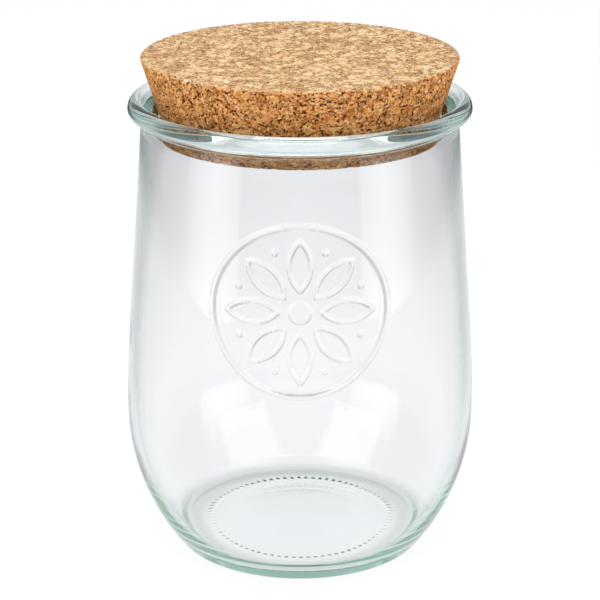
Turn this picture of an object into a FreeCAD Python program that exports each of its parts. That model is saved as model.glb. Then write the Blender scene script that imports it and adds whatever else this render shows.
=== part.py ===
import FreeCAD, Part
import math
import os

import Sketcher

# A glass storage jar with a tapered cork lid. Millimetres, +Z up, the front of the jar towards -Y.
# The origin is the middle of the base, on the plane the jar stands on.

# Driving sizes. Lengths are in millimetres, the counts are whole numbers, cork_taper is degrees from upright
# and flare_slope degrees from level.
SIZES = {
    # Jar outside: base, bowl, side and neck
    "jar_height": 147.0,
    "belly_radius": 55.9,
    "belly_level": 45.0,
    "belly_ease": 11.8,
    "heel_inset": 16.0,
    "heel_fillet": 3.0,
    "ring_width": 10.4,
    "push_up": 0.8,
    "side_draw": 6.5,
    "neck_fillet": 1.0,
    # Rim bead
    "bead_overhang": 4.2,
    "bead_top_round": 3.1,
    "bead_under_round": 2.1,
    "bead_inner_round": 1.6,
    # Step, land and throat inside the rim; the throat tapers as the cork does
    "step_wall": 0.9,
    "land_fillet": 0.5,
    "land_width": 0.95,
    "throat_round": 3.8,
    "throat_wall": 0.3,
    "flare_slope": 6.0,
    "flare_upper_round": 0.7,
    "flare_lower_round": 1.2,
    # Glass thickness, how much the wall gains down to the heel, and the inner corner at the floor
    "wall_thickness": 2.4,
    "heel_gain": 2.4,
    "floor_thickness": 4.2,
    "corner_fillet": 9.0,
    # Grip notches under the bearing ring
    "notch_inset": 1.5,
    "notch_length": 1.6,
    "notch_width": 0.9,
    "notch_depth": 0.25,
    "notch_count": 80,
    # Raised medallion on the front: a ring, a bud, petals and seeds
    "medallion_drop": 47.8,
    "medallion_radius": 27.0,
    "medallion_line": 1.8,
    "bud_radius": 3.6,
    "bud_gap": 2.0,
    "petal_gap": 2.6,
    "petal_width": 8.0,
    "petal_line": 1.5,
    "petal_count": 8,
    "seed_inset": 5.7,
    "seed_radius": 1.1,
    "relief_height": 0.6,
    "relief_root": 0.5,
    # Cork lid, and how it sits in the throat
    "cork_height": 25.1,
    "cork_proud": 13.1,
    "cork_taper": 17.5,
    "cork_round": 0.6,
    "seat_clearance": 0.2,
    # How far a working shape runs past what it works on
    "overrun": 2.0,
}

# Sizes that follow from the driving ones
DERIVED = {
    "neck_radius": "=belly_radius - side_draw",
    "neck_level": "=jar_height - bead_top_round - bead_under_round",
    "rim_radius": "=neck_radius + bead_overhang",
    "bowl_radius": "=(heel_inset^2 + belly_level^2) / (2 * heel_inset)",
    "bowl_axis": "=belly_radius - bowl_radius",
    "side_lean": "=atan2(side_draw; neck_level - belly_level - belly_ease)",
    "belly_bend": "=belly_ease / tan(side_lean / 2)",
    "belly_axis": "=belly_radius - belly_bend",
    "heel_reach": "=sqrt((bowl_radius - heel_fillet)^2 - (belly_level - heel_fillet)^2)",
    "ring_radius": "=bowl_axis + heel_reach - ring_width",
    "notch_start": "=ring_radius + notch_inset",
    "land_level": "=jar_height - bead_inner_round - step_wall - land_fillet",
    "land_radius": "=rim_radius - bead_top_round - bead_inner_round - land_fillet - land_width",
    "mouth_reach": "=throat_round * tan((90 - cork_taper) / 2)",
    "flare_angle": "=90 - flare_slope",
    "throat_reach": "=flare_upper_round * tan((cork_taper + flare_angle) / 2)",
    "throat_length": "=mouth_reach + throat_wall + throat_reach",
    "mouth_radius": "=land_radius - mouth_reach",
    "throat_radius": "=mouth_radius - throat_length * sin(cork_taper)",
    "throat_level": "=land_level - throat_length * cos(cork_taper)",
    "inner_neck_radius": "=neck_radius - wall_thickness / cos(side_lean)",
    "flare_start": "=inner_neck_radius + (neck_level - throat_level) * tan(side_lean)",
    "flare_depth": "=(flare_start - throat_radius) / (tan(flare_angle) - tan(side_lean))",
    "inner_inset": "=heel_inset + heel_gain",
    "inner_bowl_radius": "=(inner_inset^2 + belly_level^2) / (2 * inner_inset)",
    "inner_bowl_axis": "=belly_radius - wall_thickness - inner_bowl_radius",
    "medallion_level": "=neck_level - medallion_drop",
    "ring_inner_radius": "=medallion_radius - medallion_line",
    "petal_start": "=bud_radius + bud_gap",
    "petal_length": "=ring_inner_radius - petal_gap - petal_start",
    "petal_bend": "=(petal_length^2 + petal_width^2) / (4 * petal_width)",
    "seed_reach": "=ring_inner_radius - seed_inset",
    "face_radius": "=belly_radius + relief_height",
    "face_neck_radius": "=neck_radius + relief_height / cos(side_lean)",
    "seat_radius": "=throat_radius - seat_clearance / cos(cork_taper)",
    "cork_top": "=jar_height + cork_proud",
    "cork_bottom": "=cork_top - cork_height",
    "cork_top_radius": "=seat_radius + (cork_top - throat_level) * tan(cork_taper)",
    "cork_bottom_radius": "=seat_radius + (cork_bottom - throat_level) * tan(cork_taper)",
}

NODES = ("glass_jar", "cork_lid")

os.makedirs("parts", exist_ok=True)
doc = FreeCAD.newDocument("jar")
sheet = doc.addObject("Spreadsheet::Sheet", "Sizes")
for row, (alias, content) in enumerate({**SIZES, **DERIVED}.items(), start=1):
    sheet.set(f"A{row}", alias)
    sheet.set(f"B{row}", str(content))
    sheet.setAlias(f"B{row}", alias)
doc.recompute()


def size(alias):
    """The number a cell of the sheet holds, in millimetres or degrees."""
    held = sheet.get(alias)
    return float(getattr(held, "Value", held))


def vector(across, up):
    """A point of a sketch."""
    return FreeCAD.Vector(across, up, 0)


def origin_feature(body, role):
    """The plane or axis of a body's own origin that has this role."""
    return next(item for item in body.Origin.OriginFeatures if item.Role == role)


def new_body(label):
    """An empty body under its label."""
    body = doc.addObject("PartDesign::Body", label)
    body.Label = label
    return body


def new_sketch(body, label, role):
    """A sketch in a body, flat on one of the planes of the body's origin."""
    sketch = body.newObject("Sketcher::SketchObject", label)
    sketch.AttachmentSupport = [(origin_feature(body, role), "")]
    sketch.MapMode = "FlatFace"
    return sketch


class Stretch:
    """One line or arc of an outline, with the numbers of its ends and its middle in the sketch."""

    def __init__(self, index, first=1, last=2, middle=3):
        self.index = index
        self.first = (index, first)
        self.last = (index, last)
        self.centre = (index, middle)


class Outline:
    """Lines, arcs and helper points in a sketch, held together by rules and driven by the sheet."""

    def __init__(self, sketch):
        self.sketch = sketch
        # How every sketch numbers its origin and its two axes
        self.origin = (-1, 1)
        self.across_axis = -1
        self.up_axis = -2

    def rule(self, kind, *where):
        """Adds a rule without a size, such as a tangent or a horizontal."""
        self.sketch.addConstraint(Sketcher.Constraint(kind, *where))

    def drive(self, kind, where, expression):
        """Adds a rule whose size comes from the sheet."""
        held = self.sketch.evalExpression(expression)
        value = float(getattr(held, "Value", held))
        index = self.sketch.addConstraint(Sketcher.Constraint(kind, *where, value))
        self.sketch.setExpression(f"Constraints[{index}]", expression)

    def line(self, start, end):
        """A straight stretch."""
        return Stretch(self.sketch.addGeometry(Part.LineSegment(start, end), False))

    def arc(self, centre, start, end, turn_left):
        """A round stretch from start to end, turning left or right on the way."""
        first, last = (start, end) if turn_left else (end, start)
        from_angle = math.atan2(first.y - centre.y, first.x - centre.x)
        to_angle = math.atan2(last.y - centre.y, last.x - centre.x)
        circle = Part.Circle(centre, FreeCAD.Vector(0, 0, 1), (start - centre).Length)
        shape = Part.ArcOfCircle(circle, from_angle, to_angle)
        index = self.sketch.addGeometry(shape, False)
        return Stretch(index, 1, 2) if turn_left else Stretch(index, 2, 1)

    def helper(self, place):
        """A point that guides the outline and isn't part of it."""
        return (self.sketch.addGeometry(Part.Point(place), True), 1)

    def follow(self, *stretches):
        """Joins each stretch to the next one without a corner."""
        for before, after in zip(stretches, stretches[1:]):
            self.rule("Tangent", *before.last, *after.first)

    def corner(self, before, after):
        """Joins two stretches at a corner."""
        self.rule("Coincident", *before.last, *after.first)

    def circle(self, across, up, radius, across_size, up_size, radius_size):
        """A full circle whose place and radius come from the sheet."""
        shape = Part.Circle(vector(across, up), FreeCAD.Vector(0, 0, 1), radius)
        round_edge = Stretch(self.sketch.addGeometry(shape, False))
        self.place(across_size, up_size, round_edge.centre)
        self.drive("Radius", (round_edge.index,), radius_size)

    def place(self, across_size, up_size, point):
        """Sets a point's place from the sheet, or on an axis where no size is given."""
        choices = (
            ("DistanceX", self.up_axis, across_size),
            ("DistanceY", self.across_axis, up_size),
        )
        for kind, axis, wanted in choices:
            if wanted is None:
                self.rule("PointOnObject", *point, axis)
            else:
                self.drive(kind, (*self.origin, *point), wanted)


def round_corner(corner, before, after, radius):
    """The centre and both ends of the arc that rounds a corner between two straight stretches."""
    back = (before - corner).normalize()
    on = (after - corner).normalize()
    half = back.getAngle(on) / 2
    reach = radius / math.tan(half)
    middle = (back + on).normalize()
    return corner + middle * (radius / math.sin(half)), corner + back * reach, corner + on * reach


# Glass jar: half of its section, turned about the upright axis

height = size("jar_height")
bowl_centre = vector(size("bowl_axis"), size("belly_level"))
bowl_radius = size("bowl_radius")
belly_centre = vector(size("belly_axis"), size("belly_level"))
belly_bend = size("belly_bend")
lean = math.radians(size("side_lean"))
side_normal = vector(math.cos(lean), math.sin(lean))


def side_point(level, outward):
    """A point at some level on the straight side, moved outward from the outer face."""
    rise = level - belly_centre.y
    across = (belly_bend + outward - rise * side_normal.y) / side_normal.x
    return vector(belly_centre.x + across, level)


def bowl_fillet(middle, bowl, radius, floor):
    """The centre and both ends of the arc that rounds a bowl about some middle into a flat floor."""
    rise = floor + radius - middle.y
    centre = vector(middle.x + math.sqrt((bowl - radius) ** 2 - rise**2), floor + radius)
    on_bowl = middle + (centre - middle).normalize() * bowl
    return centre, vector(centre.x, floor), on_bowl


wall = size("wall_thickness")
floor = size("floor_thickness")
neck_level = size("neck_level")
neck_fillet = size("neck_fillet")
rim = size("rim_radius")
bead_top = size("bead_top_round")
bead_under = size("bead_under_round")
bead_inner = size("bead_inner_round")
bead_inside = rim - bead_top - bead_inner
land = size("land_level")
land_fillet = size("land_fillet")

push_up_bend = (size("ring_radius") ** 2 + size("push_up") ** 2) / (2 * size("push_up"))
push_up_top = vector(0, size("push_up"))
push_up_centre = vector(0, size("push_up") - push_up_bend)
ring_inside = vector(size("ring_radius"), 0)
heel_centre, heel_on_base, heel_on_bowl = bowl_fillet(bowl_centre, bowl_radius, size("heel_fillet"), 0)
belly_out = vector(size("belly_radius"), size("belly_level"))
side_foot = belly_centre + side_normal * belly_bend
neck_centre = side_point(neck_level - neck_fillet, neck_fillet)
neck_on_side = neck_centre - side_normal * neck_fillet
neck_on_bead = vector(neck_centre.x, neck_level)
bead_low = vector(rim - bead_under, neck_level)
bead_out = vector(rim, height - bead_top)
bead_high = vector(rim - bead_top, height)
bead_in = vector(bead_inside, height - bead_inner)
land_foot = vector(bead_inside, land + land_fillet)
land_out = vector(bead_inside - land_fillet, land)
mouth_corner = vector(size("mouth_radius"), land)
throat_corner = vector(size("throat_radius"), size("throat_level"))
throat_centre, land_in, throat_high = round_corner(
    mouth_corner, land_out, throat_corner, size("throat_round")
)
flare_corner = side_point(throat_corner.y - size("flare_depth"), -wall)
inner_foot = belly_centre + side_normal * (belly_bend - wall)
inner_belly_out = vector(belly_out.x - wall, belly_out.y)
upper_centre, upper_start, upper_end = round_corner(
    throat_corner, mouth_corner, flare_corner, size("flare_upper_round")
)
lower_centre, lower_start, lower_end = round_corner(
    flare_corner, throat_corner, inner_foot, size("flare_lower_round")
)
inner_bowl_centre = vector(size("inner_bowl_axis"), belly_out.y)
corner_centre, corner_on_floor, corner_on_bowl = bowl_fillet(
    inner_bowl_centre, size("inner_bowl_radius"), size("corner_fillet"), floor
)
floor_middle = vector(0, floor)

shell = new_body("jar_shell")
section = Outline(new_sketch(shell, "jar_section", "XZ_Plane"))

push_up = section.arc(push_up_centre, push_up_top, ring_inside, False)
ring = section.line(ring_inside, heel_on_base)
heel = section.arc(heel_centre, heel_on_base, heel_on_bowl, True)
bowl = section.arc(bowl_centre, heel_on_bowl, belly_out, True)
belly = section.arc(belly_centre, belly_out, side_foot, True)
side = section.line(side_foot, neck_on_side)
neck = section.arc(neck_centre, neck_on_side, neck_on_bead, False)
bead_floor = section.line(neck_on_bead, bead_low)
bead_a = section.arc(vector(bead_low.x, bead_out.y), bead_low, bead_out, True)
bead_b = section.arc(vector(bead_high.x, bead_out.y), bead_out, bead_high, True)
bead_c = section.arc(vector(bead_high.x, bead_in.y), bead_high, bead_in, True)
bead_wall = section.line(bead_in, land_foot)
land_arc = section.arc(vector(land_out.x, land_foot.y), land_foot, land_out, False)
land_line = section.line(land_out, land_in)
throat_arc = section.arc(throat_centre, land_in, throat_high, True)
throat_line = section.line(throat_high, upper_start)
flare_upper = section.arc(upper_centre, upper_start, upper_end, True)
flare_line = section.line(upper_end, lower_start)
flare_lower = section.arc(lower_centre, lower_start, lower_end, False)
inner_side = section.line(lower_end, inner_foot)
inner_belly = section.arc(belly_centre, inner_foot, inner_belly_out, False)
inner_bowl = section.arc(inner_bowl_centre, inner_belly_out, corner_on_bowl, False)
inner_corner = section.arc(corner_centre, corner_on_bowl, corner_on_floor, False)
floor_line = section.line(corner_on_floor, floor_middle)
axis_line = section.line(floor_middle, push_up_top)
neck_point = section.helper(vector(size("neck_radius"), neck_level))
mouth_point = section.helper(mouth_corner)
throat_point = section.helper(throat_corner)
flare_point = section.helper(flare_corner)

section.corner(push_up, ring)
section.follow(ring, heel, bowl, belly, side, neck, bead_floor, bead_a, bead_b, bead_c, bead_wall)
section.follow(bead_wall, land_arc, land_line, throat_arc, throat_line, flare_upper, flare_line)
section.follow(flare_line, flare_lower, inner_side, inner_belly, inner_bowl, inner_corner, floor_line)
section.corner(floor_line, axis_line)
section.corner(axis_line, push_up)
for level_line in (bead_floor, land_line, floor_line):
    section.rule("Horizontal", level_line.index)
section.rule("Vertical", bead_wall.index)
section.rule("PointOnObject", *push_up.centre, section.up_axis)
section.place(None, "Sizes.push_up", push_up.first)
section.place("Sizes.ring_radius", None, ring.first)
section.rule("PointOnObject", *ring.last, section.across_axis)
section.drive("Radius", (heel.index,), "Sizes.heel_fillet")
section.drive("Radius", (bowl.index,), "Sizes.bowl_radius")
section.drive("Radius", (belly.index,), "Sizes.belly_bend")
section.place("Sizes.belly_radius", "Sizes.belly_level", bowl.last)
section.rule("Horizontal", *bowl.last, *bowl.centre)
section.drive("Radius", (neck.index,), "Sizes.neck_fillet")
section.drive("DistanceX", (*section.origin, *neck_point), "Sizes.neck_radius")
section.rule("PointOnObject", *neck_point, side.index)
section.rule("PointOnObject", *neck_point, bead_floor.index)
section.drive("Radius", (bead_a.index,), "Sizes.bead_under_round")
section.drive("Radius", (bead_b.index,), "Sizes.bead_top_round")
section.drive("Radius", (bead_c.index,), "Sizes.bead_inner_round")
section.rule("Horizontal", *bead_a.centre, *bead_b.centre)
section.rule("Vertical", *bead_b.centre, *bead_c.centre)
section.drive("DistanceX", (*section.origin, *bead_b.first), "Sizes.rim_radius")
section.drive("DistanceY", (*section.origin, *bead_b.last), "Sizes.jar_height")
section.drive("Radius", (land_arc.index,), "Sizes.land_fillet")
section.drive("DistanceY", (*section.origin, *land_line.last), "Sizes.land_level")
section.drive("Radius", (throat_arc.index,), "Sizes.throat_round")
section.drive("DistanceX", (*section.origin, *mouth_point), "Sizes.mouth_radius")
section.rule("PointOnObject", *mouth_point, land_line.index)
section.rule("PointOnObject", *mouth_point, throat_line.index)
section.place("Sizes.throat_radius", "Sizes.throat_level", throat_point)
section.rule("PointOnObject", *throat_point, throat_line.index)
section.rule("PointOnObject", *throat_point, flare_line.index)
section.drive("Radius", (flare_upper.index,), "Sizes.flare_upper_round")
section.drive("DistanceY", (*flare_point, *throat_point), "Sizes.flare_depth")
section.rule("PointOnObject", *flare_point, flare_line.index)
section.rule("PointOnObject", *flare_point, inner_side.index)
section.drive("Radius", (flare_lower.index,), "Sizes.flare_lower_round")
section.rule("Parallel", side.index, inner_side.index)
section.rule("Coincident", *belly.centre, *inner_belly.centre)
section.rule("Horizontal", *inner_bowl.first, *inner_bowl.centre)
section.drive("Radius", (inner_bowl.index,), "Sizes.inner_bowl_radius")
section.drive("Radius", (inner_belly.index,), "Sizes.belly_bend - Sizes.wall_thickness")
section.drive("Radius", (inner_corner.index,), "Sizes.corner_fillet")
section.place(None, "Sizes.floor_thickness", floor_line.last)

turned = shell.newObject("PartDesign::Revolution", "jar_turned")
turned.Profile = section.sketch
turned.ReferenceAxis = (section.sketch, ["V_Axis"])
turned.Angle = 360
doc.recompute()
plain_volume = turned.Shape.Volume

# Grip notches under the bearing ring, one cut and repeated around the axis

notch_plan = Outline(new_sketch(shell, "notch_plan", "XY_Plane"))
notch_in = size("notch_start")
notch_out = notch_in + size("notch_length")
notch_half = size("notch_width") / 2
notch_corners = [
    vector(notch_in, -notch_half),
    vector(notch_out, -notch_half),
    vector(notch_out, notch_half),
    vector(notch_in, notch_half),
]
notch_edges = [
    notch_plan.line(start, end) for start, end in zip(notch_corners, notch_corners[1:] + notch_corners[:1])
]
for before, after in zip(notch_edges, notch_edges[1:] + notch_edges[:1]):
    notch_plan.corner(before, after)
near_edge, outer_edge, far_edge, inner_edge = notch_edges
for edge in (near_edge, far_edge):
    notch_plan.rule("Horizontal", edge.index)
notch_plan.rule("Vertical", inner_edge.index)
notch_plan.rule("Symmetric", *outer_edge.first, *outer_edge.last, notch_plan.across_axis)
notch_plan.drive("DistanceX", (*notch_plan.origin, *near_edge.first), "Sizes.notch_start")
notch_plan.drive("DistanceX", (*near_edge.first, *near_edge.last), "Sizes.notch_length")
notch_plan.drive("DistanceY", (*outer_edge.first, *outer_edge.last), "Sizes.notch_width")

notch = shell.newObject("PartDesign::Pocket", "notch")
notch.Profile = notch_plan.sketch
notch.Reversed = True
notch.setExpression("Length", "Sizes.notch_depth")
doc.recompute()
one_notch = plain_volume - notch.Shape.Volume

notches = shell.newObject("PartDesign::PolarPattern", "notches")
notches.Originals = [notch]
notches.Axis = (notch_plan.sketch, ["N_Axis"])
notches.Angle = 360
notches.setExpression("Occurrences", "Sizes.notch_count")
shell.Tip = notches
doc.recompute()
all_notches = plain_volume - notches.Shape.Volume

# Raised medallion: its drawing as upright prisms, cut to a thin layer on the outside of the jar

prisms = new_body("medallion_prisms")
prisms.AllowCompound = True
prisms.setExpression(".Placement.Base.z", "Sizes.medallion_level")


def prism(label, outline):
    """Raises an outline of the medallion's drawing from the middle of the jar to in front of it."""
    pad = prisms.newObject("PartDesign::Pad", label)
    pad.Profile = outline.sketch
    pad.setExpression("Length", "Sizes.belly_radius + Sizes.overrun")
    return pad


def around(label, feature, outline):
    """Repeats a prism around the medallion's middle, one for each petal."""
    pattern = prisms.newObject("PartDesign::PolarPattern", label)
    pattern.Originals = [feature]
    pattern.Axis = (outline.sketch, ["N_Axis"])
    pattern.Angle = 360
    pattern.setExpression("Occurrences", "Sizes.petal_count")
    prisms.Tip = pattern


ring_plan = Outline(new_sketch(prisms, "ring_plan", "XZ_Plane"))
ring_outer = size("medallion_radius")
ring_inner = size("ring_inner_radius")
ring_plan.circle(0, 0, ring_outer, None, None, "Sizes.medallion_radius")
ring_plan.circle(0, 0, ring_inner, None, None, "Sizes.ring_inner_radius")
single_prisms = [prism("medallion_ring", ring_plan)]

bud_plan = Outline(new_sketch(prisms, "bud_plan", "XZ_Plane"))
bud_plan.circle(0, 0, size("bud_radius"), None, None, "Sizes.bud_radius")
single_prisms.append(prism("medallion_bud", bud_plan))

petal_plan = Outline(new_sketch(prisms, "petal_plan", "XZ_Plane"))
petal_middle = size("petal_start") + size("petal_length") / 2
petal_shift = size("petal_bend") - size("petal_width") / 2


def petal_edge(inset, bend_size):
    """One closed edge of a petal: two arcs that meet at its tips. Returns the right one."""
    bend = size("petal_bend") - inset
    reach = math.sqrt(bend**2 - petal_shift**2)
    low = vector(0, petal_middle - reach)
    high = vector(0, petal_middle + reach)
    right = petal_plan.arc(vector(-petal_shift, petal_middle), low, high, True)
    left = petal_plan.arc(vector(petal_shift, petal_middle), high, low, True)
    petal_plan.corner(right, left)
    petal_plan.corner(left, right)
    petal_plan.rule("PointOnObject", *right.first, petal_plan.up_axis)
    petal_plan.rule("PointOnObject", *right.last, petal_plan.up_axis)
    petal_plan.rule("Equal", right.index, left.index)
    petal_plan.drive("Radius", (right.index,), bend_size)
    return right


outer_right = petal_edge(0, "Sizes.petal_bend")
inner_right = petal_edge(size("petal_line"), "Sizes.petal_bend - Sizes.petal_line")
petal_plan.drive("DistanceY", (*petal_plan.origin, *outer_right.first), "Sizes.petal_start")
petal_plan.drive("DistanceY", (*outer_right.first, *outer_right.last), "Sizes.petal_length")
petal_plan.rule("Coincident", *outer_right.centre, *inner_right.centre)
repeated_prisms = [prism("medallion_petal", petal_plan)]
around("medallion_petals", repeated_prisms[-1], petal_plan)

seed_plan = Outline(new_sketch(prisms, "seed_plan", "XZ_Plane"))
half_step = math.pi / size("petal_count")
seed_plan.circle(
    size("seed_reach") * math.sin(half_step),
    size("seed_reach") * math.cos(half_step),
    size("seed_radius"),
    "Sizes.seed_reach * sin(180 deg / Sizes.petal_count)",
    "Sizes.seed_reach * cos(180 deg / Sizes.petal_count)",
    "Sizes.seed_radius",
)
repeated_prisms.append(prism("medallion_seed", seed_plan))
around("medallion_seeds", repeated_prisms[-1], seed_plan)


# The layer follows the outside of the bowl, the belly and the side, from the heel up to the neck

rise = size("relief_height")
root = size("relief_root")


def bowl_point(level, outward):
    """A point at some level on the bowl, moved outward from the outer face."""
    bowl = bowl_radius + outward
    return vector(bowl_centre.x + math.sqrt(bowl**2 - (level - bowl_centre.y) ** 2), level)


layer = new_body("relief_layer")
skin = Outline(new_sketch(layer, "layer_section", "XZ_Plane"))
face_low = bowl_point(size("heel_fillet"), rise)
face_out = vector(size("face_radius"), belly_out.y)
face_foot = belly_centre + side_normal * (belly_bend + rise)
face_high = side_point(neck_level, rise)
back_high = side_point(neck_level, -root)
back_foot = belly_centre + side_normal * (belly_bend - root)
back_out = vector(belly_out.x - root, belly_out.y)
back_low = bowl_point(size("heel_fillet"), -root)
face_bowl = skin.arc(bowl_centre, face_low, face_out, True)
face_belly = skin.arc(belly_centre, face_out, face_foot, True)
face_side = skin.line(face_foot, face_high)
layer_top = skin.line(face_high, back_high)
back_side = skin.line(back_high, back_foot)
back_belly = skin.arc(belly_centre, back_foot, back_out, False)
back_bowl = skin.arc(bowl_centre, back_out, back_low, False)
layer_foot = skin.line(back_low, face_low)
skin.follow(face_bowl, face_belly, face_side)
skin.corner(face_side, layer_top)
skin.corner(layer_top, back_side)
skin.follow(back_side, back_belly, back_bowl)
skin.corner(back_bowl, layer_foot)
skin.corner(layer_foot, face_bowl)
for level_line in (layer_top, layer_foot):
    skin.rule("Horizontal", level_line.index)
skin.place("Sizes.face_radius", "Sizes.belly_level", face_bowl.last)
skin.rule("Horizontal", *face_bowl.last, *face_bowl.centre)
skin.drive("Radius", (face_bowl.index,), "Sizes.bowl_radius + Sizes.relief_height")
skin.drive("Radius", (face_belly.index,), "Sizes.belly_bend + Sizes.relief_height")
skin.place("Sizes.face_neck_radius", "Sizes.neck_level", face_side.last)
skin.rule("Parallel", face_side.index, back_side.index)
skin.rule("Coincident", *face_belly.centre, *back_belly.centre)
skin.rule("Coincident", *face_bowl.centre, *back_bowl.centre)
skin.drive("Radius", (back_belly.index,), "Sizes.belly_bend - Sizes.relief_root")
skin.drive("DistanceY", (*skin.origin, *layer_foot.last), "Sizes.heel_fillet")
layer_turned = layer.newObject("PartDesign::Revolution", "layer_turned")
layer_turned.Profile = skin.sketch
layer_turned.ReferenceAxis = (skin.sketch, ["V_Axis"])
layer_turned.Angle = 360
layer.Tip = layer_turned

relief = doc.addObject("Part::Common", "medallion_relief")
relief.Base = prisms
relief.Tool = layer

jar = doc.addObject("Part::Fuse", "glass_jar")
jar.Label = "glass_jar"
jar.Base = shell
jar.Tool = relief
jar.Refine = True

# Cork lid: a tapered plug that wedges in the throat, with both edges slightly rounded

lid = new_body("cork_lid")
plug = Outline(new_sketch(lid, "cork_section", "XZ_Plane"))
low_corner = vector(size("cork_bottom_radius"), size("cork_bottom"))
high_corner = vector(size("cork_top_radius"), size("cork_top"))
low_middle = vector(0, low_corner.y)
high_middle = vector(0, high_corner.y)
low_centre, low_start, low_end = round_corner(low_corner, low_middle, high_corner, size("cork_round"))
high_centre, high_start, high_end = round_corner(high_corner, low_corner, high_middle, size("cork_round"))
plug_bottom = plug.line(low_middle, low_start)
plug_low_round = plug.arc(low_centre, low_start, low_end, True)
plug_side = plug.line(low_end, high_start)
plug_high_round = plug.arc(high_centre, high_start, high_end, True)
plug_top = plug.line(high_end, high_middle)
plug_axis = plug.line(high_middle, low_middle)
low_point = plug.helper(low_corner)
high_point = plug.helper(high_corner)
plug.follow(plug_bottom, plug_low_round, plug_side, plug_high_round, plug_top)
plug.corner(plug_top, plug_axis)
plug.corner(plug_axis, plug_bottom)
plug.rule("Horizontal", plug_bottom.index)
plug.rule("Horizontal", plug_top.index)
plug.place(None, "Sizes.cork_bottom", plug_bottom.first)
plug.place(None, "Sizes.cork_top", plug_top.last)
plug.drive("Radius", (plug_low_round.index,), "Sizes.cork_round")
plug.drive("Radius", (plug_high_round.index,), "Sizes.cork_round")
plug.drive("DistanceX", (*plug.origin, *low_point), "Sizes.cork_bottom_radius")
plug.drive("DistanceX", (*plug.origin, *high_point), "Sizes.cork_top_radius")
for point, flat in ((low_point, plug_bottom), (high_point, plug_top)):
    plug.rule("PointOnObject", *point, flat.index)
    plug.rule("PointOnObject", *point, plug_side.index)
plug_turned = lid.newObject("PartDesign::Revolution", "cork_turned")
plug_turned.Profile = plug.sketch
plug_turned.ReferenceAxis = (plug.sketch, ["V_Axis"])
plug_turned.Angle = 360
lid.Tip = plug_turned

doc.recompute()

# Nothing is written from a document with a fault in it

for item in doc.Objects:
    faults = {"Invalid", "Error"} & set(item.State)
    assert not faults, f"{item.Label} is {faults}"
assert one_notch > 0, "the grip notch cuts nothing"
assert all_notches > one_notch * (size("notch_count") - 1), "the notches don't go all the way around"
raised = len(single_prisms) + len(repeated_prisms) * round(size("petal_count"))
assert len(relief.Shape.Solids) == raised, "the medallion lacks a ring, bud, petal or seed"
for label in NODES:
    node = doc.getObjectsByLabel(label)[0]
    assert not node.Shape.isNull() and node.Shape.isValid(), f"{label} has no sound shape"
    assert len(node.Shape.Solids) == 1, f"{label} is not one solid"
    node.Shape.exportStep(f"parts/{label}.step")
    print(label, "volume in cubic centimetres", round(node.Shape.Volume / 1000, 1))
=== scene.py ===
import logging
import math
from abc import ABC, abstractmethod
from dataclasses import dataclass, field
from enum import Enum
from typing import Any, Iterable, Mapping, Union

import bmesh
import bpy
from bpy.types import Material, Mesh, Node, NodeSocket, NodeTree, Object
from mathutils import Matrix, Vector


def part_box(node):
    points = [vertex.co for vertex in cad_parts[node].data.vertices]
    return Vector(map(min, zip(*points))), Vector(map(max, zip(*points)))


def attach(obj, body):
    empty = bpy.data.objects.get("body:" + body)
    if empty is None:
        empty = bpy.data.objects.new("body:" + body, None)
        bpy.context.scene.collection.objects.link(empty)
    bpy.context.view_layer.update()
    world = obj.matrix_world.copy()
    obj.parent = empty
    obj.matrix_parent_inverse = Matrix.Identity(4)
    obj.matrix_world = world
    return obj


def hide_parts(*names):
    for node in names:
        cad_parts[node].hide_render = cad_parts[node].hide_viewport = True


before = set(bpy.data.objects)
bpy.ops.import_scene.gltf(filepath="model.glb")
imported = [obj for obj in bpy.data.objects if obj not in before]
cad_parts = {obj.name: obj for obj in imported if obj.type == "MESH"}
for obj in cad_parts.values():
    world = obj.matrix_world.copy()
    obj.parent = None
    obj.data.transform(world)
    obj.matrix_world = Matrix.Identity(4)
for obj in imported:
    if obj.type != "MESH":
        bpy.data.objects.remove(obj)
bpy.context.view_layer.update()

log = logging.getLogger("jar")

MM = 0.001
CUBIC_CM = 1e-6
SAME_PLACE = 1e-6
WHITE = (1.0, 1.0, 1.0)
PLAIN = (0.0, 0.0, 0.0)

Triple = tuple[float, float, float]
Colour = Triple
Step = tuple[float, float, float, float]
Arc = tuple[Vector, Vector, Vector]
Scalar = Union["Field", NodeSocket, float, int]
Sizes = Mapping[str, "Field"]


class Body(Enum):
    """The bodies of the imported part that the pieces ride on."""

    JAR = "jar"
    LID = "lid"


class Slot(Enum):
    """The record's material slots."""

    GLASS = "clear_glass"
    CORK = "pressed_cork"


# Nodes


class Field:
    """A number that varies over a surface: a node's output, with the usual arithmetic."""

    def __init__(self, graph: "Graph", socket: NodeSocket) -> None:
        """Wraps a node's output socket."""
        self.graph = graph
        self.socket = socket

    def __add__(self, other: Scalar) -> "Field":
        """The sum."""
        return self.graph.math("ADD", self, other)

    def __sub__(self, other: Scalar) -> "Field":
        """The difference."""
        return self.graph.math("SUBTRACT", self, other)

    def __rsub__(self, other: Scalar) -> "Field":
        """The difference, from the right."""
        return self.graph.math("SUBTRACT", other, self)

    def __mul__(self, other: Scalar) -> "Field":
        """The product."""
        return self.graph.math("MULTIPLY", self, other)

    def __truediv__(self, other: Scalar) -> "Field":
        """The quotient."""
        return self.graph.math("DIVIDE", self, other)

    def __neg__(self) -> "Field":
        """The number with its sign turned."""
        return self.graph.math("MULTIPLY", self, -1.0)

    def __abs__(self) -> "Field":
        """The number without its sign."""
        return self.graph.math("ABSOLUTE", self)


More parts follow.
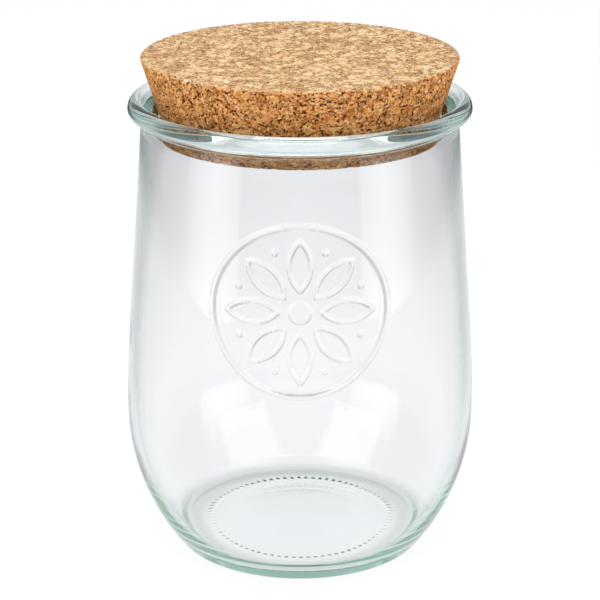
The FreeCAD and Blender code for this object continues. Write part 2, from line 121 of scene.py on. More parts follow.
class Graph:
    """A node tree that is filled from code."""

    def __init__(self, tree: NodeTree) -> None:
        """Takes the tree that the nodes go into."""
        self.tree = tree

    def feed(self, socket: NodeSocket, value: Any) -> None:
        """Links a field or a socket to an input, or sets the input's own value.

        Args:
            socket: the input.
            value: a field, an output socket or a plain value.
        """
        if isinstance(value, Field):
            value = value.socket
        if isinstance(value, NodeSocket):
            self.tree.links.new(value, socket)
        else:
            socket.default_value = value

    def node(self, kind: str, inputs: Mapping[Any, Any] | None = None, **settings: Any) -> Node:
        """Adds a node.

        Args:
            kind: the node's type.
            inputs: what each input gets, by the input's name or place.
            settings: the node's own options.

        Returns:
            The node.
        """
        node = self.tree.nodes.new(kind)
        for name, value in settings.items():
            setattr(node, name, value)
        for name, value in (inputs or {}).items():
            self.feed(node.inputs[name], value)
        return node

    def socket(self, label: str, kind: str, way: str = "INPUT") -> None:
        """Gives the tree itself a named input or output."""
        self.tree.interface.new_socket(label, in_out=way, socket_type=f"NodeSocket{kind}")

    def field(self, node: Node, output: Any = 0) -> Field:
        """One output of a node as a field."""
        return Field(self, node.outputs[output])

    def math(self, operation: str, *terms: Scalar) -> Field:
        """One step of arithmetic on one, two or three numbers."""
        return self.field(self.node("ShaderNodeMath", dict(enumerate(terms)), operation=operation))

    def step(self, value: Scalar, low: Scalar, high: Scalar, start: float = 0.0, end: float = 1.0) -> Field:
        """A soft step of a number from start, at low, to end, at high."""
        inputs = {"Value": value, "From Min": low, "From Max": high, "To Min": start, "To Max": end}
        return self.field(self.node("ShaderNodeMapRange", inputs, interpolation_type="SMOOTHSTEP"))

    def parts(self, vector: NodeSocket) -> tuple[Field, Field, Field]:
        """The three numbers of a vector."""
        node = self.node("ShaderNodeSeparateXYZ", {0: vector})
        return self.field(node, 0), self.field(node, 1), self.field(node, 2)

    def vector(self, x: Scalar, y: Scalar, z: Scalar) -> NodeSocket:
        """A vector from three numbers."""
        return self.node("ShaderNodeCombineXYZ", {0: x, 1: y, 2: z}).outputs[0]

    def noise(self, place: NodeSocket, scale: float, detail: float, shift: float, seed: Scalar) -> Node:
        """Smooth noise at a place, about scale features to a metre, with the shift added to its seed."""
        inputs = {"Vector": place, "W": self.math("ADD", seed, shift), "Scale": scale, "Detail": detail}
        return self.node("ShaderNodeTexNoise", inputs, noise_dimensions="4D")

    def blend(self, share: Scalar, first: Any, second: Any) -> NodeSocket:
        """A mix of two colours.

        Args:
            share: how much of the second colour shows.
            first: the first colour or its socket.
            second: the second colour or its socket.

        Returns:
            The mixed colour's socket.
        """
        node = self.node("ShaderNodeMix", {"Factor": share}, data_type="RGBA")
        colours = [socket for socket in node.inputs if socket.type == "RGBA"]
        for socket, colour in zip(colours, (first, second)):
            self.feed(socket, (*colour, 1.0) if isinstance(colour, tuple) else colour)
        return next(socket for socket in node.outputs if socket.type == "RGBA")

    def ramp(self, value: Scalar, stops: Iterable[tuple[float, Colour]]) -> NodeSocket:
        """A colour that runs through several stops.

        Args:
            value: where on the ramp, from 0 to 1.
            stops: the places and colours of the stops.

        Returns:
            The colour's socket.
        """
        node = self.node("ShaderNodeValToRGB", {"Fac": value})
        elements = node.color_ramp.elements
        for index, (place, colour) in enumerate(stops):
            element = elements[index] if index < len(elements) else elements.new(place)
            element.position = place
            element.color = (*colour, 1.0)
        return node.outputs["Color"]


def add_object(name: str, data: Any) -> Object:
    """Adds an object to the scene.

    Args:
        name: the object's name.
        data: its mesh, lamp or camera.

    Returns:
        The object.
    """
    thing = bpy.data.objects.new(name, data)
    bpy.context.scene.collection.objects.link(thing)
    return thing


# Turned pieces


@dataclass(frozen=True)
class Row:
    """One row of a turned piece's section: its place, its outward direction and its three masks."""

    radius: float
    level: float
    out_radius: float
    out_level: float
    masks: Triple


class Section:
    """Collects the rows of a section in millimetres, each stretch from where the last one ended."""

    def __init__(self, start: Vector) -> None:
        """Starts at a point, without rows."""
        self.rows: list[Row] = []
        self.end = start

    def add(self, place: Vector, out: Vector, masks: Triple) -> None:
        """Adds a row, unless it lies on the row before it.

        Args:
            place: where the row is.
            out: its outward direction.
            masks: its masks.
        """
        row = Row(place.x * MM, place.y * MM, out.x, out.y, masks)
        last = self.rows[-1] if self.rows else None
        if last is None or math.hypot(last.radius - row.radius, last.level - row.level) >= SAME_PLACE:
            self.rows.append(row)

    def line(self, end: Vector, count: int = 1, masks: Triple = PLAIN) -> None:
        """Adds a straight stretch in equal steps, outward to the right of its run.

        Args:
            end: where the stretch ends.
            count: the number of steps.
            masks: the masks of its rows.
        """
        start, self.end = self.end, end
        run = (end - start).normalized()
        out = Vector((run.y, -run.x))
        for index in range(count + 1):
            self.add(start.lerp(end, index / count), out, masks)

    def arc(self, centre: Vector, end: Vector, count: int, masks: Triple = PLAIN) -> None:
        """Adds a round stretch in equal steps, the short way, outward to the right of its run.

        Args:
            centre: the arc's middle.
            end: where the arc ends.
            count: the number of steps.
            masks: the masks of its rows.
        """
        start, self.end = self.end, end
        radius = (start - centre).length
        first = math.atan2(start.y - centre.y, start.x - centre.x)
        last = math.atan2(end.y - centre.y, end.x - centre.x)
        left = (last - first) % (2 * math.pi) < math.pi
        sweep = (last - first) % (2 * math.pi) if left else -((first - last) % (2 * math.pi))
        for index in range(count + 1):
            angle = first + sweep * index / count
            away = Vector((math.cos(angle), math.sin(angle)))
            self.add(centre + away * radius, away if left else -away, masks)

    def mesh(self, name: str) -> Mesh:
        """The rows as loose points that carry their outward direction and masks.

        Args:
            name: the mesh's name.

        Returns:
            The mesh.
        """
        mesh = bpy.data.meshes.new(name)
        mesh.from_pydata([(row.radius, 0.0, row.level) for row in self.rows], [], [])
        out = mesh.attributes.new("out", "FLOAT_VECTOR", "POINT")
        masks = mesh.attributes.new("masks", "FLOAT_VECTOR", "POINT")
        for index, row in enumerate(self.rows):
            out.data[index].vector = (row.out_radius, 0.0, row.out_level)
            masks.data[index].vector = row.masks
        return mesh


@dataclass
class Turning:
    """What a piece's relief works with at each point: its angle, its place and its masks."""

    angle: Field
    place: NodeSocket
    masks: tuple[Field, Field, Field]


class TurnedPiece(ABC):
    """A piece whose section Geometry Nodes turn about the upright axis, with a rule for its relief."""

    name: str
    body: Body
    slot: Slot
    node_name: str

    @abstractmethod
    def section(self) -> Section:
        """The rows of the section, from the axis round the outside and back to the axis."""

    @abstractmethod
    def sizes(self) -> dict[str, float]:
        """The named inputs of the tree, in metres, degrees or whole numbers."""

    @abstractmethod
    def angle(self, graph: Graph, column: Field, size: Sizes) -> Field:
        """Places a column.

        Args:
            graph: the piece's tree.
            column: the column's number.
            size: the tree's inputs.

        Returns:
            Its angle in degrees, 0 at the front and growing to the right.
        """

    @abstractmethod
    def relief(self, graph: Graph, at: Turning, size: Sizes) -> Field:
        """Shapes the surface.

        Args:
            graph: the piece's tree.
            at: what is known at each point.
            size: the tree's inputs.

        Returns:
            How far each point moves outward.
        """

    @abstractmethod
    def dress(self, graph: Graph, geometry: NodeSocket) -> NodeSocket:
        """Gives the turned shape its finishes at the end of the tree.

        Args:
            graph: the piece's tree.
            geometry: the turned shape.

        Returns:
            The dressed shape.
        """

    def build(self) -> Object:
        """Turns the section into the finished piece and ties it to the frame.

        Returns:
            The piece, as a plain mesh at the origin.
        """
        section = self.section()
        sizes = {**self.sizes(), "Rows": len(section.rows)}
        tree = bpy.data.node_groups.new(f"{self.name}_turning", "GeometryNodeTree")
        graph = Graph(tree)
        graph.socket("Section", "Geometry")
        for label, value in sizes.items():
            graph.socket(label, "Int" if isinstance(value, int) else "Float")
        graph.socket("Piece", "Geometry", "OUTPUT")
        source = graph.node("NodeGroupInput")
        size = {label: graph.field(source, label) for label in sizes}

        counts = {"Vertices X": size["Columns"] + 1.0, "Vertices Y": size["Rows"]}
        grid = graph.node("GeometryNodeMeshGrid", counts)
        index = graph.field(graph.node("GeometryNodeInputIndex"))
        row = graph.math("MODULO", index, size["Rows"])
        column = graph.math("FLOOR", (index + 0.5) / size["Rows"])

        def sampled(value: NodeSocket) -> tuple[Field, Field, Field]:
            """Reads a vector of the section at this point's row.

            Args:
                value: the vector at each row.

            Returns:
                Its three numbers.
            """
            inputs = {"Geometry": source.outputs["Section"], "Value": value, "Index": row}
            node = graph.node("GeometryNodeSampleIndex", inputs, data_type="FLOAT_VECTOR")
            return graph.parts(node.outputs["Value"])

        def named(name: str) -> NodeSocket:
            """A named vector of the section."""
            node = graph.node("GeometryNodeInputNamedAttribute", {"Name": name}, data_type="FLOAT_VECTOR")
            return node.outputs["Attribute"]

        radius, _, level = sampled(graph.node("GeometryNodeInputPosition").outputs[0])
        out_radius, _, out_level = sampled(named("out"))
        masks = sampled(named("masks"))
        angle = self.angle(graph, column, size)
        turn = graph.math("RADIANS", angle)
        sine, cosine = graph.math("SINE", turn), graph.math("COSINE", turn)

        def turned(across: Field, up: Field) -> NodeSocket:
            """A point of the section, turned to this column."""
            return graph.vector(across * sine, -(across * cosine), up)

        at = Turning(angle, turned(radius, level), masks)
        height = self.relief(graph, at, size)
        place = turned(radius + height * out_radius, level + height * out_level)
        moved = graph.node("GeometryNodeSetPosition", {"Geometry": grid.outputs["Mesh"], "Position": place})
        joined = {"Geometry": moved.outputs[0], "Distance": SAME_PLACE}
        merged = graph.node("GeometryNodeMergeByDistance", joined)
        smooth = graph.node("GeometryNodeSetShadeSmooth", {"Geometry": merged.outputs[0]})
        single = graph.node("GeometryNodeRealizeInstances", {"Geometry": smooth.outputs[0]})
        graph.node("NodeGroupOutput", {"Piece": self.dress(graph, single.outputs[0])})

        holder = add_object(f"{self.name}_section", section.mesh(f"{self.name}_section"))
        modifier = holder.modifiers.new("turning", "NODES")
        modifier.node_group = tree
        for item in tree.interface.items_tree:
            if item.name in sizes:
                modifier[item.identifier] = sizes[item.name]
        mesh = bpy.data.meshes.new_from_object(holder.evaluated_get(bpy.context.evaluated_depsgraph_get()))
        bpy.data.objects.remove(holder)
        return self.place(mesh)

    def place(self, mesh: Mesh) -> Object:
        """Turns all faces outward, places the mesh as a piece and ties it to the frame.

        Args:
            mesh: the finished mesh.

        Returns:
            The piece.
        """
        shape = bmesh.new()
        shape.from_mesh(mesh)
        bmesh.ops.recalc_face_normals(shape, faces=shape.faces)
        open_edges = sum(not edge.is_manifold for edge in shape.edges)
        volume = shape.calc_volume() / CUBIC_CM
        shape.to_mesh(mesh)
        shape.free()
        mesh.name = self.name
        piece = add_object(self.name, mesh)
        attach(piece, self.body.value)
        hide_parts(self.node_name)
        triangles = sum(len(face.vertices) - 2 for face in mesh.polygons)
        log.info("%s: %d triangles, %d open edges, %.1f cm3", self.name, triangles, open_edges, volume)
        return piece


# Finishes


class SmudgeGroup:
    """A shader group of soft uneven patches. Each finish gives it a scale, a low and a high value."""

    DETAIL = 4.0

    def __init__(self) -> None:
        """Builds the group once."""
        self.tree = bpy.data.node_groups.new("soft_patches", "ShaderNodeTree")
        graph = Graph(self.tree)
        graph.socket("Vector", "Vector")
        for label in ("Scale", "Low", "High"):
            graph.socket(label, "Float")
        graph.socket("Patches", "Float", "OUTPUT")
        source = graph.node("NodeGroupInput")
        inputs = {"Vector": source.outputs["Vector"], "Scale": source.outputs["Scale"], "Detail": self.DETAIL}
        broad = graph.node("ShaderNodeTexNoise", inputs)
        patches = graph.step(graph.field(broad), source.outputs["Low"], source.outputs["High"])
        graph.node("NodeGroupOutput", {"Patches": patches})

    def use(self, graph: Graph, place: NodeSocket, scale: float, low: float, high: float) -> Field:
        """Patches from 0, where the noise is low, to 1, where it is high, about scale to a metre."""
        inputs = {"Vector": place, "Scale": scale, "Low": low, "High": high}
        return graph.field(graph.node("ShaderNodeGroup", inputs, node_tree=self.tree), "Patches")


def new_material(name: str) -> tuple[Material, Graph]:
    """An empty material.

    Args:
        name: the material's name.

    Returns:
        The material and its tree.
    """
    material = bpy.data.materials.new(name)
    material.use_nodes = True
    material.node_tree.nodes.clear()
    return material, Graph(material.node_tree)


@dataclass(frozen=True)
class GlassFinish:
    """Clear pressed glass with a slight green cast where it is thick, and painted shade where its surface
    turns away from the view.
    """

    name: str = "clear_glass"
    refraction: float = 1.52
    cast: Colour = (0.60, 0.90, 0.80)
    cast_density: float = 23.0
    # Painted shade: the grey-blue that the glass turns towards where its surface faces away from the view.
    painted_edge_shade: Colour = (0.42, 0.55, 0.56)
    painted_edge_shade_start: float = 0.62
    smudges: Triple = (60.0, 0.52, 0.8)
    smudge_roughness: float = 0.02
    waves: Triple = (45.0, 0.25, 0.75)
    wave_height: float = 0.00002

    def material(self, patches: SmudgeGroup) -> Material:
        """Builds the glass.

        Args:
            patches: the shared group of soft patches.

        Returns:
            The material.
        """
        material, graph = new_material(self.name)
        place = graph.node("ShaderNodeTexCoord").outputs["Object"]
        facing = graph.field(graph.node("ShaderNodeLayerWeight"), "Facing")
        # Painted shade: the glass darkens towards the painted edge tint where its surface turns away from the
        # view.
        edge = graph.step(facing, self.painted_edge_shade_start, 1.0)
        smudge = patches.use(graph, place, *self.smudges)
        wave = patches.use(graph, place, *self.waves)
        relief = {"Strength": 1.0, "Distance": self.wave_height, "Height": wave}
        bump = graph.node("ShaderNodeBump", relief)
        glass = graph.node(
            "ShaderNodeBsdfPrincipled",
            {
                "Base Color": graph.blend(edge, WHITE, self.painted_edge_shade),
                "Roughness": smudge * self.smudge_roughness,
                "IOR": self.refraction,
                "Transmission Weight": 1.0,
                "Normal": bump.outputs[0],
            },
        )
        tint = {"Color": (*self.cast, 1.0), "Density": self.cast_density}
        depth = graph.node("ShaderNodeVolumeAbsorption", tint)
        ends = {"Surface": glass.outputs[0], "Volume": depth.outputs[0]}
        graph.node("ShaderNodeOutputMaterial", ends)
        return material


@dataclass(frozen=True)
class CorkPattern:
    """Pressed cork at a point: its granules' tone, fine grain, light flecks, pits and seams."""

    tone: Field
    grain: Field
    fleck: Field
    pit: Field
    seam: Field


@dataclass(frozen=True)
class CorkGrain:
    """How pressed cork breaks up. A noise has its scale, its detail and what it adds to the seed."""

    jitter: Triple = (620.0, 3.0, 0.0)
    jitter_middle: Triple = (0.5, 0.5, 0.5)
    jitter_reach: float = 0.0034
    granule_scale: float = 340.0
    second_tone: float = 0.3
    seam_width: float = 0.16
    seam_holes: float = 0.12
    holes: Triple = (1150.0, 2.0, 3.0)
    hole_slope: float = 0.05
    flecks: Triple = (1050.0, 3.0, 7.0)
    fleck_range: tuple[float, float] = (0.56, 0.65)
    grain_detail: float = 4.0
    grain_shift: float = 11.0

    def pattern(
        self, graph: Graph, place: NodeSocket, pit_start: Scalar, seed: Scalar, grain_scale: float
    ) -> CorkPattern:
        """Granules with pits between them, the same in a mesh's tree and in a material.

        Args:
            graph: the tree that the nodes go into.
            place: the place on the piece, in metres.
            pit_start: the noise value above which there is a pit.
            seed: shifts the whole pattern.
            grain_scale: how many grains to a metre, roughly.

        Returns:
            The pattern's fields.
        """

        def vector_math(operation: str, inputs: Mapping[Any, Any]) -> NodeSocket:
            """One step of arithmetic on vectors."""
            return graph.node("ShaderNodeVectorMath", inputs, operation=operation).outputs[0]

        jitter = graph.noise(place, *self.jitter, seed).outputs["Color"]
        centred = vector_math("SUBTRACT", {0: jitter, 1: self.jitter_middle})
        shift = vector_math("SCALE", {0: centred, "Scale": self.jitter_reach})
        bent = vector_math("ADD", {0: place, 1: shift})
        cells = {"Vector": bent, "Scale": self.granule_scale}
        first, second, _ = graph.parts(graph.node("ShaderNodeTexVoronoi", cells).outputs["Color"])
        tone = first * (1.0 - self.second_tone) + second * self.second_tone
        edge = graph.node("ShaderNodeTexVoronoi", cells, feature="DISTANCE_TO_EDGE")
        seam = graph.step(graph.field(edge, "Distance"), self.seam_width, 0.0)
        holes = graph.field(graph.noise(place, *self.holes, seed)) + seam * self.seam_holes
        pit = graph.step(holes, pit_start, graph.math("ADD", pit_start, self.hole_slope))
        fleck = graph.step(graph.field(graph.noise(place, *self.flecks, seed)), *self.fleck_range)
        grain = graph.field(graph.noise(bent, grain_scale, self.grain_detail, self.grain_shift, seed))
        return CorkPattern(tone, grain, fleck, pit, seam)


@dataclass(frozen=True)
class CorkFinish:
    """Pressed cork: the granules' tones, the colour of flecks and pits, and how strongly each shows."""

    name: str
    dark: Colour
    middle: Colour
    light: Colour
    fleck: Colour
    red: Colour
    pit: Colour
    pit_start: float
    granules: float
    contrast: float
    clusters: float
    grain_scale: float
    seed: float
    tone_stops: Triple = (0.1, 0.5, 0.9)
    even_tone: float = 0.5
    cluster_patches: Triple = (230.0, 0.36, 0.64)
    red_patches: Triple = (300.0, 0.56, 0.66)
    red_share: float = 0.5
    fleck_share: float = 0.75
    seam_share: float = 0.3
    pit_share: float = 0.95
    grain_bump: float = 0.5
    fleck_bump: float = 0.3
    pit_bump: float = 1.2
    bump_height: float = 0.0003
    roughness: float = 0.78
    grain_roughness: float = 0.15
    specular: float = 0.08

    def material(self, patches: SmudgeGroup) -> Material:
        """Builds the cork.

        Args:
            patches: the shared group of soft patches.

        Returns:
            The material.
        """
        material, graph = new_material(self.name)
        place = graph.node("ShaderNodeTexCoord").outputs["Object"]
        pattern = CorkGrain().pattern(graph, place, self.pit_start, self.seed, self.grain_scale)
        even = self.even_tone
        cluster = (patches.use(graph, place, *self.cluster_patches) - even) * self.clusters
        granule = (pattern.tone - even) * self.granules
        tone = granule + (pattern.grain - even) * self.contrast + cluster + even
        colour = graph.ramp(tone, zip(self.tone_stops, (self.dark, self.middle, self.light)))
        reddish = patches.use(graph, place, *self.red_patches) * self.red_share
        colour = graph.blend(reddish, colour, self.red)
        colour = graph.blend(pattern.fleck * self.fleck_share, colour, self.fleck)
        colour = graph.blend(pattern.seam * self.seam_share, colour, self.dark)
        colour = graph.blend(pattern.pit * self.pit_share, colour, self.pit)
        raised = pattern.grain * self.grain_bump + pattern.fleck * self.fleck_bump
        height = raised - pattern.pit * self.pit_bump
        relief = {"Strength": 1.0, "Distance": self.bump_height, "Height": height}
        bump = graph.node("ShaderNodeBump", relief)
        cork = graph.node(
            "ShaderNodeBsdfPrincipled",
            {
                "Base Color": colour,
                "Roughness": pattern.grain * self.grain_roughness + self.roughness,
                "Specular IOR Level": self.specular,
                "Normal": bump.outputs[0],
            },
        )
        graph.node("ShaderNodeOutputMaterial", {"Surface": cork.outputs[0]})
        return material


CORK_FACE = CorkFinish(
    name="pressed_cork_face",
    dark=(0.40, 0.205, 0.085),
    middle=(0.64, 0.40, 0.20),
    light=(0.88, 0.65, 0.40),
    fleck=(0.88, 0.68, 0.44),
    red=(0.56, 0.29, 0.15),
    pit=(0.14, 0.065, 0.025),
    pit_start=0.63,
    granules=0.8,
    contrast=2.8,
    clusters=0.22,
    grain_scale=650.0,
    seed=2.0,
)
CORK_SIDE = CorkFinish(
    name="pressed_cork_side",
    dark=(0.32, 0.115, 0.028),
    middle=(0.645, 0.265, 0.070),
    light=(0.86, 0.45, 0.17),
    fleck=(0.97, 0.70, 0.40),
    red=(0.60, 0.21, 0.06),
    pit=(0.07, 0.02, 0.005),
    pit_start=0.612,
    granules=0.6,
    contrast=3.2,
    clusters=0.2,
    grain_scale=1400.0,
    seed=2.0,
)


# Jar


@dataclass(frozen=True)
class JarRows:
    """How many steps each stretch of the jar's section has, and the step of its side in millimetres."""

    push_up: int = 7
    inner_ring: int = 2
    notch: int = 2
    outer_ring: int = 3
    heel: int = 8
    bowl: int = 13
    low_belly: int = 7
    high_belly: int = 4
    side_step: float = 0.5
    high_side: int = 4
    neck: int = 7
    bead_under: int = 7
    bead_top: int = 9
    bead_inner: int = 6
    land: int = 3
    mouth: int = 12
    flare: int = 4
    inner_side: int = 7
    inner_belly: int = 4
    inner_bowl: int = 8
    inner_corner: int = 8
    floor: int = 5


@dataclass
class GlassJar(TurnedPiece):
    """The pressed glass jar, in millimetres: base, bowl, side, rim, inside, grip notches and medallion."""

    finish: Material
    name: str = "jar_glass"
    body: Body = Body.JAR
    slot: Slot = Slot.GLASS
    node_name: str = "glass_jar"
    height: float = 147.0
    belly_radius: float = 55.87
    belly_level: float = 45.0
    belly_ease: float = 11.8
    heel_inset: float = 16.0
    heel_fillet: float = 3.0
    ring_width: float = 10.4
    push_up: float = 0.8
    side_draw: float = 6.5
    neck_fillet: float = 1.0
    bead_overhang: float = 4.2
    bead_top_round: float = 3.1
    bead_under_round: float = 2.1
    bead_inner_round: float = 1.6
    step_wall: float = 0.9
    land_fillet: float = 0.5
    land_width: float = 0.95
    throat_round: float = 3.8
    throat_wall: float = 0.3
    throat_taper: float = 17.5
    flare_slope: float = 6.0
    flare_upper_round: float = 0.7
    flare_lower_round: float = 1.2
    wall: float = 2.4
    heel_gain: float = 2.4
    floor: float = 4.2
    corner_fillet: float = 9.0
    notch_inset: float = 1.5
    notch_length: float = 1.6
    notch_depth: float = 0.08
    notch_slope: float = 0.12
    notch_count: int = 80
    notch_shift_share: float = 0.375
    notch_half_share: float = 0.375
    notch_flank_share: float = 0.25
    medallion_drop: float = 47.8
    medallion_radius: float = 27.0
    medallion_margin: float = 0.6
    medallion_line: float = 1.8
    bud_radius: float = 3.6
    bud_gap: float = 2.0
    petal_gap: float = 2.6
    petal_width: float = 8.0
    petal_line: float = 1.5
    petal_count: int = 8
    seed_inset: float = 5.7
    seed_radius: float = 1.1
    relief_height: float = 0.6
    relief_shoulder: float = 0.36
    wave_height: float = 0.05
    waves: Triple = (28.0, 1.0, 0.0)
    outer_wave_share: float = 0.4
    seed: float = 11.0
    front_pitches: int = 14
    front_steps: int = 10
    back_steps: int = 4
    steps: JarRows = JarRows()

    def section(self) -> Section:
        """The rows of the jar's section, masked as outside, notched or slightly uneven.

        Returns:
            The section, from the middle of the underside to the middle of the floor.
        """
        outer, notched, uneven = (1.0, 0.0, self.outer_wave_share), (0.0, 1.0, 0.0), (0.0, 0.0, 1.0)
        neck_radius = self.belly_radius - self.side_draw
        neck_level = self.height - self.bead_top_round - self.bead_under_round
        rim = neck_radius + self.bead_overhang
        bowl_radius = (self.heel_inset**2 + self.belly_level**2) / (2 * self.heel_inset)
        bowl_centre = Vector((self.belly_radius - bowl_radius, self.belly_level))
        lean = math.atan2(self.side_draw, neck_level - self.belly_level - self.belly_ease)
        bend = self.belly_ease / math.tan(lean / 2)
        belly_centre = Vector((self.belly_radius - bend, self.belly_level))
        normal = Vector((math.cos(lean), math.sin(lean)))

        def side_point(level: float, outward: float) -> Vector:
            """A point on the straight side, moved outward."""
            across = (bend + outward - (level - belly_centre.y) * normal.y) / normal.x
            return Vector((belly_centre.x + across, level))

        def bowl_fillet(middle: Vector, bowl: float, radius: float, floor: float) -> Arc:
            """Rounds the corner between a bowl and a flat floor.

            Args:
                middle: the bowl's middle.
                bowl: the bowl's radius.
                radius: the arc's radius.
                floor: the floor's level.

            Returns:
                The arc's middle and its ends on the floor and on the bowl.
            """
            reach = math.sqrt((bowl - radius) ** 2 - (floor + radius - middle.y) ** 2)
            centre = Vector((middle.x + reach, floor + radius))
            on_bowl = middle + (centre - middle).normalized() * bowl
            return centre, Vector((centre.x, floor)), on_bowl

        def corner(at: Vector, before: Vector, after: Vector, radius: float) -> Arc:
            """Rounds a corner between two straight stretches.

            Args:
                at: the corner.
                before: a point on the stretch before it.
                after: a point on the stretch after it.
                radius: the arc's radius.

            Returns:
                The arc's middle and its two ends.
            """
            back, on = (before - at).normalized(), (after - at).normalized()
            half = back.angle(on) / 2
            reach = radius / math.tan(half)
            middle = (back + on).normalized()
            return at + middle * (radius / math.sin(half)), at + back * reach, at + on * reach

        inner_inset = self.heel_inset + self.heel_gain
        inner_radius = (inner_inset**2 + self.belly_level**2) / (2 * inner_inset)
        inner_centre = Vector((self.belly_radius - self.wall - inner_radius, self.belly_level))
        heel, heel_base, heel_bowl = bowl_fillet(bowl_centre, bowl_radius, self.heel_fillet, 0)
        inner, inner_floor, inner_bowl = bowl_fillet(
            inner_centre, inner_radius, self.corner_fillet, self.floor
        )
        ring = heel_base.x - self.ring_width
        dome = (ring**2 + self.push_up**2) / (2 * self.push_up)
        belly_out = Vector((self.belly_radius, self.belly_level))
        belly_in = Vector((self.belly_radius - self.wall, self.belly_level))
        side_foot = belly_centre + normal * bend
        inner_foot = belly_centre + normal * (bend - self.wall)
        neck = side_point(neck_level - self.neck_fillet, self.neck_fillet)
        spread = self.medallion_radius + self.medallion_margin
        low, high = (self.medallion_level() + way * spread for way in (-1, 1))
        bead_out = Vector((rim, self.height - self.bead_top_round))
        bead_high = Vector((rim - self.bead_top_round, self.height))
        bead_in = Vector((bead_high.x - self.bead_inner_round, self.height - self.bead_inner_round))
        land = bead_in.y - self.step_wall - self.land_fillet
        taper = math.radians(self.throat_taper)
        flare_turn = math.pi / 2 - math.radians(self.flare_slope)
        mouth_reach = self.throat_round * math.tan((math.pi / 2 - taper) / 2)
        throat_reach = self.flare_upper_round * math.tan((taper + flare_turn) / 2)
        mouth_corner = Vector((bead_in.x - self.land_fillet - self.land_width - mouth_reach, land))
        throat_length = mouth_reach + self.throat_wall + throat_reach
        throat_corner = mouth_corner - Vector((math.sin(taper), math.cos(taper))) * throat_length
        flare_run = side_point(throat_corner.y, -self.wall).x - throat_corner.x
        flare_depth = flare_run / (math.tan(flare_turn) - math.tan(lean))
        flare_corner = side_point(throat_corner.y - flare_depth, -self.wall)
        land_out = Vector((bead_in.x - self.land_fillet, land))
        mouth = corner(mouth_corner, land_out, throat_corner, self.throat_round)
        upper = corner(throat_corner, mouth_corner, flare_corner, self.flare_upper_round)
        lower = corner(flare_corner, throat_corner, inner_foot, self.flare_lower_round)
        notch_start = ring + self.notch_inset
        notch_end = notch_start + self.notch_length

        steps, rows = self.steps, Section(Vector((0, self.push_up)))
        rows.arc(Vector((0, self.push_up - dome)), Vector((ring, 0)), steps.push_up)
        rows.line(Vector((notch_start, 0)), steps.inner_ring)
        rows.end = Vector((notch_start + self.notch_slope, 0))
        rows.line(Vector((notch_end - self.notch_slope, 0)), steps.notch, notched)
        rows.end = Vector((notch_end, 0))
        rows.line(heel_base, steps.outer_ring)
        rows.arc(heel, heel_bowl, steps.heel)
        rows.arc(bowl_centre, belly_out, steps.bowl, outer)
        rise = low - belly_centre.y
        side_low = belly_centre + Vector((math.sqrt(bend**2 - rise**2), rise))
        rows.arc(belly_centre, side_low, steps.low_belly, outer)
        rows.arc(belly_centre, side_foot, steps.high_belly, outer)
        rows.line(side_point(high, 0), round((high - side_foot.y) / steps.side_step), outer)
        rows.line(neck - normal * self.neck_fillet, steps.high_side, outer)
        rows.arc(neck, Vector((neck.x, neck_level)), steps.neck)
        bead_low = Vector((rim - self.bead_under_round, neck_level))
        rows.line(bead_low)
        rows.arc(Vector((bead_low.x, bead_out.y)), bead_out, steps.bead_under)
        rows.arc(Vector((bead_high.x, bead_out.y)), bead_high, steps.bead_top)
        rows.arc(Vector((bead_high.x, bead_in.y)), bead_in, steps.bead_inner)
        land_foot = Vector((bead_in.x, land + self.land_fillet))
        rows.line(land_foot)
        rows.arc(Vector((land_out.x, land_foot.y)), land_out, steps.land)
        corners = ((mouth, steps.mouth), (upper, steps.flare), (lower, steps.flare))
        for (centre, begin, end), count in corners:
            rows.line(begin)
            rows.arc(centre, end, count)
        rows.line(inner_foot, steps.inner_side, uneven)
        rows.arc(belly_centre, belly_in, steps.inner_belly, uneven)
        rows.arc(inner_centre, inner_bowl, steps.inner_bowl, uneven)
        rows.arc(inner, inner_floor, steps.inner_corner, uneven)
        rows.line(Vector((0, self.floor)), steps.floor)
        return rows

    def medallion_level(self) -> float:
        """The level of the medallion's middle."""
        return self.height - self.bead_top_round - self.bead_under_round - self.medallion_drop

    def sizes(self) -> dict[str, float]:
        """The jar's named inputs.

        Returns:
            The inputs by name, with the lengths in metres.
        """
        inner = self.medallion_radius - self.medallion_line
        start = self.bud_radius + self.bud_gap
        length = inner - self.petal_gap - start
        bend = (length**2 + self.petal_width**2) / (4 * self.petal_width)
        lengths = {
            "Notch Depth": self.notch_depth,
            "Medallion Level": self.medallion_level(),
            "Ring Middle": (self.medallion_radius + inner) / 2,
            "Ring Line": self.medallion_line,
            "Bud Radius": self.bud_radius,
            "Petal Middle": start + length / 2,
            "Petal Bend": bend,
            "Petal Shift": bend - self.petal_width / 2,
            "Petal Line": self.petal_line,
            "Seed Reach": inner - self.seed_inset,
            "Seed Radius": self.seed_radius,
            "Relief Height": self.relief_height,
            "Relief Shoulder": self.relief_shoulder,
            "Wave Height": self.wave_height,
        }
        coarse = (self.notch_count - self.front_pitches) * self.back_steps
        return {
            "Columns": self.front_pitches * self.front_steps + coarse,
            "Fine Columns": self.front_pitches * self.front_steps,
            "Front Steps": self.front_steps,
            "Back Steps": self.back_steps,
            "Pitch": 360.0 / self.notch_count,
            "Petal Step": 360.0 / self.petal_count,
            "Seed": self.seed,
            **{label: value * MM for label, value in lengths.items()},
        }

    def angle(self, graph: Graph, column: Field, size: Sizes) -> Field:
        """Columns that lie closer together at the front, where the medallion is.

        Args:
            graph: the jar's tree.
            column: the column's number.
            size: the tree's inputs.

        Returns:
            The column's angle in degrees.
        """
        fine = graph.math("MINIMUM", column, size["Fine Columns"]) / size["Front Steps"]
        coarse = graph.math("MAXIMUM", column - size["Fine Columns"], 0.0) / size["Back Steps"]
        start = size["Fine Columns"] / size["Front Steps"] * 0.5
        return (fine + coarse - start) * size["Pitch"]

